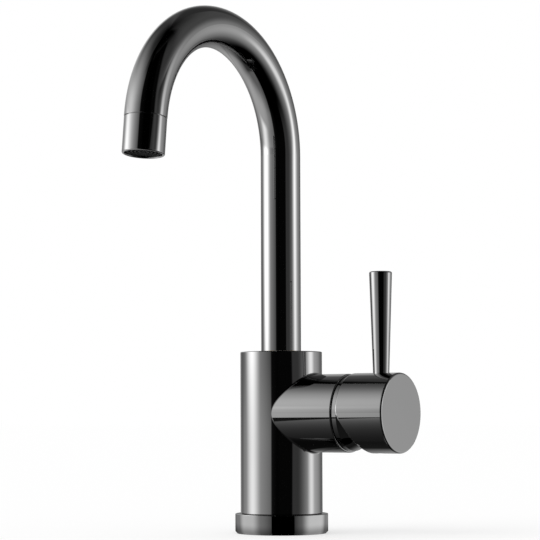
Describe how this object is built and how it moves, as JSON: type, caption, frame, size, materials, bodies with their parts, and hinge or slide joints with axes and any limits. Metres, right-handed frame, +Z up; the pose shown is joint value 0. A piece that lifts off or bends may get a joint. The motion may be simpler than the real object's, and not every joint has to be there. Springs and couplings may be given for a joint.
{
  "type": "basin mixer tap",
  "caption": "Deck-mounted basin mixer: round body on a flange, tall bent swivel spout with aerator, side arm with cartridge, and a tilting, turning side handle with an upright lever.",
  "frame": {"origin": "centre of the flange's foot, on the deck", "axes": "+Z up along the body, the spout points along -Y, the arm and handle lie along +X"},
  "size_m": [0.1015, 0.1621, 0.2809],
  "materials": {
    "black_chrome": "mirror-polished black chrome plate",
    "rubber": "moulded black rubber",
    "slide_plastic": "smooth bearing plastic",
    "brass": "turned brass",
    "steel": "machined stainless steel",
    "dark_plastic": "moulded dark plastic",
    "cartridge_plastic": "moulded white plastic",
    "ceramic": "lapped ceramic"
  },
  "bodies": {
    "root": {"mixer_body": "black_chrome", "base_flange": "black_chrome", "base_gasket": "rubber", "spout_stop_screw": "steel", "spout_slide_ring_upper": "slide_plastic", "cartridge_base": "cartridge_plastic", "cartridge_port_seals": "rubber", "cartridge_housing": "cartridge_plastic", "fixed_disc": "ceramic", "retaining_nut": "brass", "bonnet_cover": "black_chrome"},
    "spout": {"spout_tube": "black_chrome", "spout_tail": "brass", "spout_o_rings": "rubber", "spout_slide_ring_lower": "slide_plastic", "spout_outlet_insert": "black_chrome", "aerator_housing": "black_chrome", "aerator_washer": "rubber", "aerator_body": "dark_plastic", "flow_regulator": "cartridge_plastic", "aerator_screen": "steel", "aerator_grid": "dark_plastic"},
    "mixing_rotor": {"rotor": "cartridge_plastic", "rotor_o_ring": "rubber", "stem_pin": "steel"},
    "lever": {"stem": "steel", "handle_hub": "black_chrome", "lever_pin": "black_chrome", "handle_grub_screw": "steel"},
    "disc": {"disc_carrier": "cartridge_plastic", "moving_disc": "ceramic"}
  },
  "joints": [
    {"name": "spout_swivel", "type": "hinge", "parent": "root", "child": "spout", "pos_m": [0, 0, 0.0994], "axis": [0, 0, 1], "range_deg": [-60, 60]},
    {"name": "mixing_turn", "type": "hinge", "parent": "root", "child": "mixing_rotor", "pos_m": [0.039, 0, 0.0655], "axis": [1, 0, 0], "range_deg": [-45, 45]},
    {"name": "lever_tilt", "type": "hinge", "parent": "mixing_rotor", "child": "lever", "pos_m": [0.039, 0, 0.0655], "axis": [0, 1, 0], "range_deg": [0, 25]},
    {"name": "disc_slide", "type": "slide", "parent": "mixing_rotor", "child": "disc", "axis": [0, 0, 1], "range_m": [0, 0.0034]}
  ],
  "couplings": [
    {"joint": "disc_slide", "follows": "lever_tilt", "m_per_rad": 0.00775}
  ]
}
